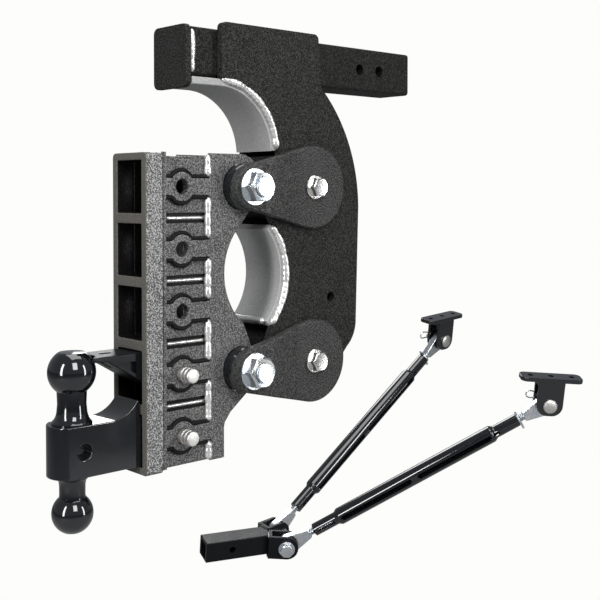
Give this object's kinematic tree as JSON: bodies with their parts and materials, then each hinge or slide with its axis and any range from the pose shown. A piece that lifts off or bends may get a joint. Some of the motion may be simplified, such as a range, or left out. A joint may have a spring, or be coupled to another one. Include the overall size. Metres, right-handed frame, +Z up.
{
  "type": "weight distribution hitch",
  "caption": "Drop hitch with a torsion-suspended slotted receiver, dual-ball mount and pintle lock, with a V kit of two turnbuckle arms, clevises and trailer-frame brackets.",
  "frame": {"origin": "middle of the end face of the square shank, which slides into the vehicle receiver", "axes": "+X along the shank towards the towing vehicle, +Z up, the hitch symmetric about Y = 0"},
  "size_m": [1.7859, 1.023, 1.1373],
  "materials": {
    "textured_charcoal_paint": "textured powder coat, charcoal with a fine lighter speckle",
    "gloss_black_paint": "gloss black",
    "zinc_plate": "bright zinc plate, bluish white",
    "turned_stainless": "turned stainless steel",
    "shaft_steel": "plain machined steel",
    "torsion_rubber": "matt black bonded rubber"
  },
  "bodies": {
    "c_frame": {"shank": "textured_charcoal_paint", "shank_end_cap": "textured_charcoal_paint", "near_side_plate": "textured_charcoal_paint", "far_side_plate": "textured_charcoal_paint", "upper_curved_wall": "textured_charcoal_paint", "lower_curved_wall": "textured_charcoal_paint", "back_strip": "textured_charcoal_paint", "upper_torsion_housing": "textured_charcoal_paint", "lower_torsion_housing": "textured_charcoal_paint", "upper_torsion_rubber": "torsion_rubber", "lower_torsion_rubber": "torsion_rubber"},
    "upper_arms": {"upper_near_arm": "textured_charcoal_paint", "upper_far_arm": "textured_charcoal_paint", "upper_torsion_shaft": "shaft_steel", "upper_near_arm_bolt": "zinc_plate", "upper_far_arm_bolt": "zinc_plate"},
    "lower_arms": {"lower_near_arm": "textured_charcoal_paint", "lower_far_arm": "textured_charcoal_paint", "lower_torsion_shaft": "shaft_steel", "lower_near_arm_bolt": "zinc_plate", "lower_far_arm_bolt": "zinc_plate"},
    "carrier": {"receiver_collar": "textured_charcoal_paint", "receiver_box": "textured_charcoal_paint", "near_side_ladder": "textured_charcoal_paint", "far_side_ladder": "textured_charcoal_paint", "upper_pivot_sleeve": "gloss_black_paint", "lower_pivot_sleeve": "gloss_black_paint", "upper_pivot_bolt": "zinc_plate", "upper_pivot_nut": "zinc_plate", "lower_pivot_bolt": "zinc_plate", "lower_pivot_nut": "zinc_plate", "ball_mount_body": "gloss_black_paint", "upper_ball": "gloss_black_paint", "lower_ball": "gloss_black_paint", "pintle_lock": "gloss_black_paint"},
    "lower_pin": {"lower_hitch_pin": "turned_stainless"},
    "upper_pin": {"upper_hitch_pin": "turned_stainless"},
    "kit_base": {"kit_insert_tube": "gloss_black_paint", "near_clevis": "gloss_black_paint", "near_clevis_bolt": "zinc_plate", "near_clevis_nut": "zinc_plate", "near_swivel_ball": "zinc_plate", "far_clevis": "gloss_black_paint", "far_clevis_bolt": "zinc_plate", "far_clevis_nut": "zinc_plate", "far_swivel_ball": "zinc_plate"},
    "near_lower_eye": {"near_lower_rod_end": "zinc_plate"},
    "near_tube": {"near_turnbuckle_tube": "gloss_black_paint"},
    "near_upper_eye": {"near_upper_rod_end": "zinc_plate"},
    "near_nut": {"near_lock_nut": "zinc_plate"},
    "near_bracket": {"near_frame_bracket": "gloss_black_paint"},
    "near_pin": {"near_bracket_pin": "turned_stainless"},
    "near_clip": {"near_hairpin_clip": "zinc_plate"},
    "far_lower_eye": {"far_lower_rod_end": "zinc_plate"},
    "far_tube": {"far_turnbuckle_tube": "gloss_black_paint"},
    "far_upper_eye": {"far_upper_rod_end": "zinc_plate"},
    "far_nut": {"far_lock_nut": "zinc_plate"},
    "far_bracket": {"far_frame_bracket": "gloss_black_paint"},
    "far_pin": {"far_bracket_pin": "turned_stainless"},
    "far_clip": {"far_hairpin_clip": "zinc_plate"}
  },
  "joints": [
    {"name": "upper_arms_swing", "type": "hinge", "parent": "c_frame", "child": "upper_arms", "pos_m": [-0.224, 0, -0.176], "axis": [0, -1, 0], "range_deg": [-3, 15], "stiffness_Nm_per_rad": 2000, "springref_deg": -0.48},
    {"name": "lower_arms_swing", "type": "hinge", "parent": "c_frame", "child": "lower_arms", "pos_m": [-0.224, 0, -0.42], "axis": [0, -1, 0], "range_deg": [-3.2, 15.2], "stiffness_Nm_per_rad": 2000, "springref_deg": -0.48},
    {"name": "carrier_stays_level", "type": "hinge", "parent": "upper_arms", "child": "carrier", "pos_m": [-0.342, 0, -0.176], "axis": [0, -1, 0], "range_deg": [-15.2, 3.2]},
    {"name": "lower_pin_pull", "type": "slide", "parent": "carrier", "child": "lower_pin", "axis": [0, 1, 0], "range_m": [0, 0.11]},
    {"name": "upper_pin_pull", "type": "slide", "parent": "carrier", "child": "upper_pin", "axis": [0, 1, 0], "range_m": [0, 0.11]},
    {"name": "kit_lifts_away", "type": "slide", "parent": "c_frame", "child": "kit_base", "axis": [0, 0, 1], "range_m": [0, 0.15]},
    {"name": "near_arm_pitch", "type": "hinge", "parent": "kit_base", "child": "near_lower_eye", "pos_m": [0.49042, 0.80209, -1.06516], "axis": [-0.6487, -0.7437, -0.1618], "range_deg": [-35, 45]},
    {"name": "near_tube_spin", "type": "hinge", "parent": "near_lower_eye", "child": "near_tube", "pos_m": [0.49042, 0.80209, -1.06516], "axis": [0.5987, -0.6299, 0.4947], "range_deg": [0, 721]},
    {"name": "near_rod_extend", "type": "slide", "parent": "near_lower_eye", "child": "near_upper_eye", "axis": [0.5987, -0.6299, 0.4947], "range_m": [0, 0.01016]},
    {"name": "near_lock_nut_spin", "type": "hinge", "parent": "near_upper_eye", "child": "near_nut", "pos_m": [0.93349, 0.33595, -0.6991], "axis": [0.5987, -0.6299, 0.4947], "range_deg": [0, 360]},
    {"name": "near_bracket_tilt", "type": "hinge", "parent": "near_upper_eye", "child": "near_bracket", "pos_m": [0.93349, 0.33595, -0.6991], "axis": [-0.6487, -0.7437, -0.1618], "range_deg": [-35, 35]},
    {"name": "near_pin_spin", "type": "hinge", "parent": "near_bracket", "child": "near_pin", "pos_m": [0.93349, 0.33595, -0.6991], "axis": [0.6487, 0.7437, 0.1618], "range_deg": [-180, 180]},
    {"name": "near_clip_pull", "type": "slide", "parent": "near_pin", "child": "near_clip", "axis": [-0.7588, 0.6482, 0.0631], "range_m": [0, 0.04]},
    {"name": "far_arm_pitch", "type": "hinge", "parent": "kit_base", "child": "far_lower_eye", "pos_m": [0.51526, 0.87223, -1.05204], "axis": [0.0361, -0.9862, -0.1618], "range_deg": [-35, 45]},
    {"name": "far_tube_spin", "type": "hinge", "parent": "far_lower_eye", "child": "far_tube", "pos_m": [0.51526, 0.87223, -1.05204], "axis": [0.7973, -0.0691, 0.5996], "range_deg": [0, 721]},
    {"name": "far_rod_extend", "type": "slide", "parent": "far_lower_eye", "child": "far_upper_eye", "axis": [0.7973, -0.0691, 0.5996], "range_m": [0, 0.01016]},
    {"name": "far_lock_nut_spin", "type": "hinge", "parent": "far_upper_eye", "child": "far_nut", "pos_m": [1.10528, 0.82106, -0.60835], "axis": [0.7973, -0.0691, 0.5996], "range_deg": [0, 360]},
    {"name": "far_bracket_tilt", "type": "hinge", "parent": "far_upper_eye", "child": "far_bracket", "pos_m": [1.10528, 0.82106, -0.60835], "axis": [0.0361, -0.9862, -0.1618], "range_deg": [-35, 35]},
    {"name": "far_pin_spin", "type": "hinge", "parent": "far_bracket", "child": "far_pin", "pos_m": [1.10528, 0.82106, -0.60835], "axis": [-0.0361, 0.9862, 0.1618], "range_deg": [-180, 180]},
    {"name": "far_clip_pull", "type": "slide", "parent": "far_pin", "child": "far_clip", "axis": [-0.9977, -0.0262, -0.0631], "range_m": [0, 0.04]}
  ],
  "couplings": [
    {"joint": "lower_arms_swing", "follows": "upper_arms_swing", "ratio": 1},
    {"joint": "carrier_stays_level", "follows": "upper_arms_swing", "ratio": -1},
    {"joint": "near_tube_spin", "follows": "near_rod_extend", "rad_per_m": 1236.8},
    {"joint": "far_tube_spin", "follows": "far_rod_extend", "rad_per_m": 1236.8}
  ]
}
